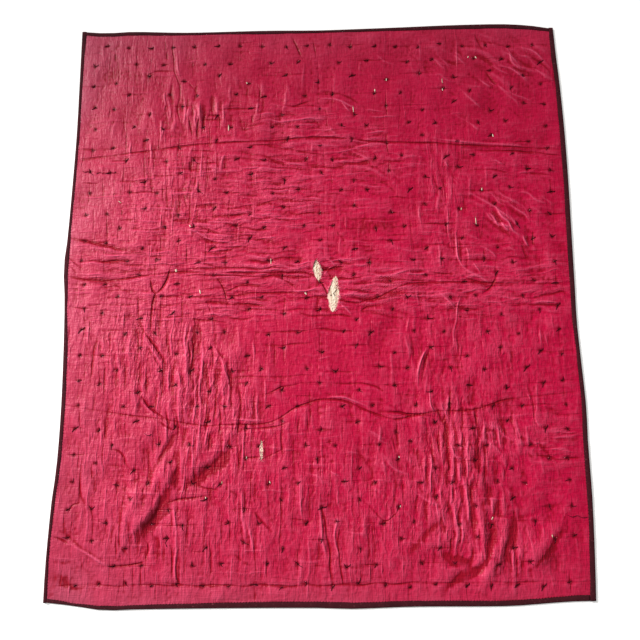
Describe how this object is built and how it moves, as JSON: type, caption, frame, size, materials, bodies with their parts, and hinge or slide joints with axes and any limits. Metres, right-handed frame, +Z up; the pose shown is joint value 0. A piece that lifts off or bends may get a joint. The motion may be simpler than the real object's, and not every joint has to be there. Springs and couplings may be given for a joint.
{
  "type": "signature quilt",
  "caption": "Large tied quilt lying face down: a padded cotton sateen backing, seamed along the middle, worn through in places, and bound with dark velvet.",
  "frame": {"origin": "centre of the quilt's bounding box on the plane that it lies on", "axes": "+Y along its length towards the head end, +X to its right-hand side seen from above, +Z up out of the face that shows"},
  "size_m": [1.8029, 2.0765, 0.014],
  "materials": {
    "sateen": "faded crimson cotton sateen, puckered by its ties",
    "batting": "undyed carded cotton, felted and loose at the torn edges",
    "binding": "dark wine cotton velvet, worn flat along the fold"
  },
  "bodies": {
    "root": {"sateen_left": "sateen", "sateen_right": "sateen", "batting_upper": "batting", "batting_lower": "batting", "batting_slit": "batting", "binding_left": "binding", "binding_right": "binding", "binding_head": "binding", "binding_foot": "binding"}
  },
  "joints": []
}
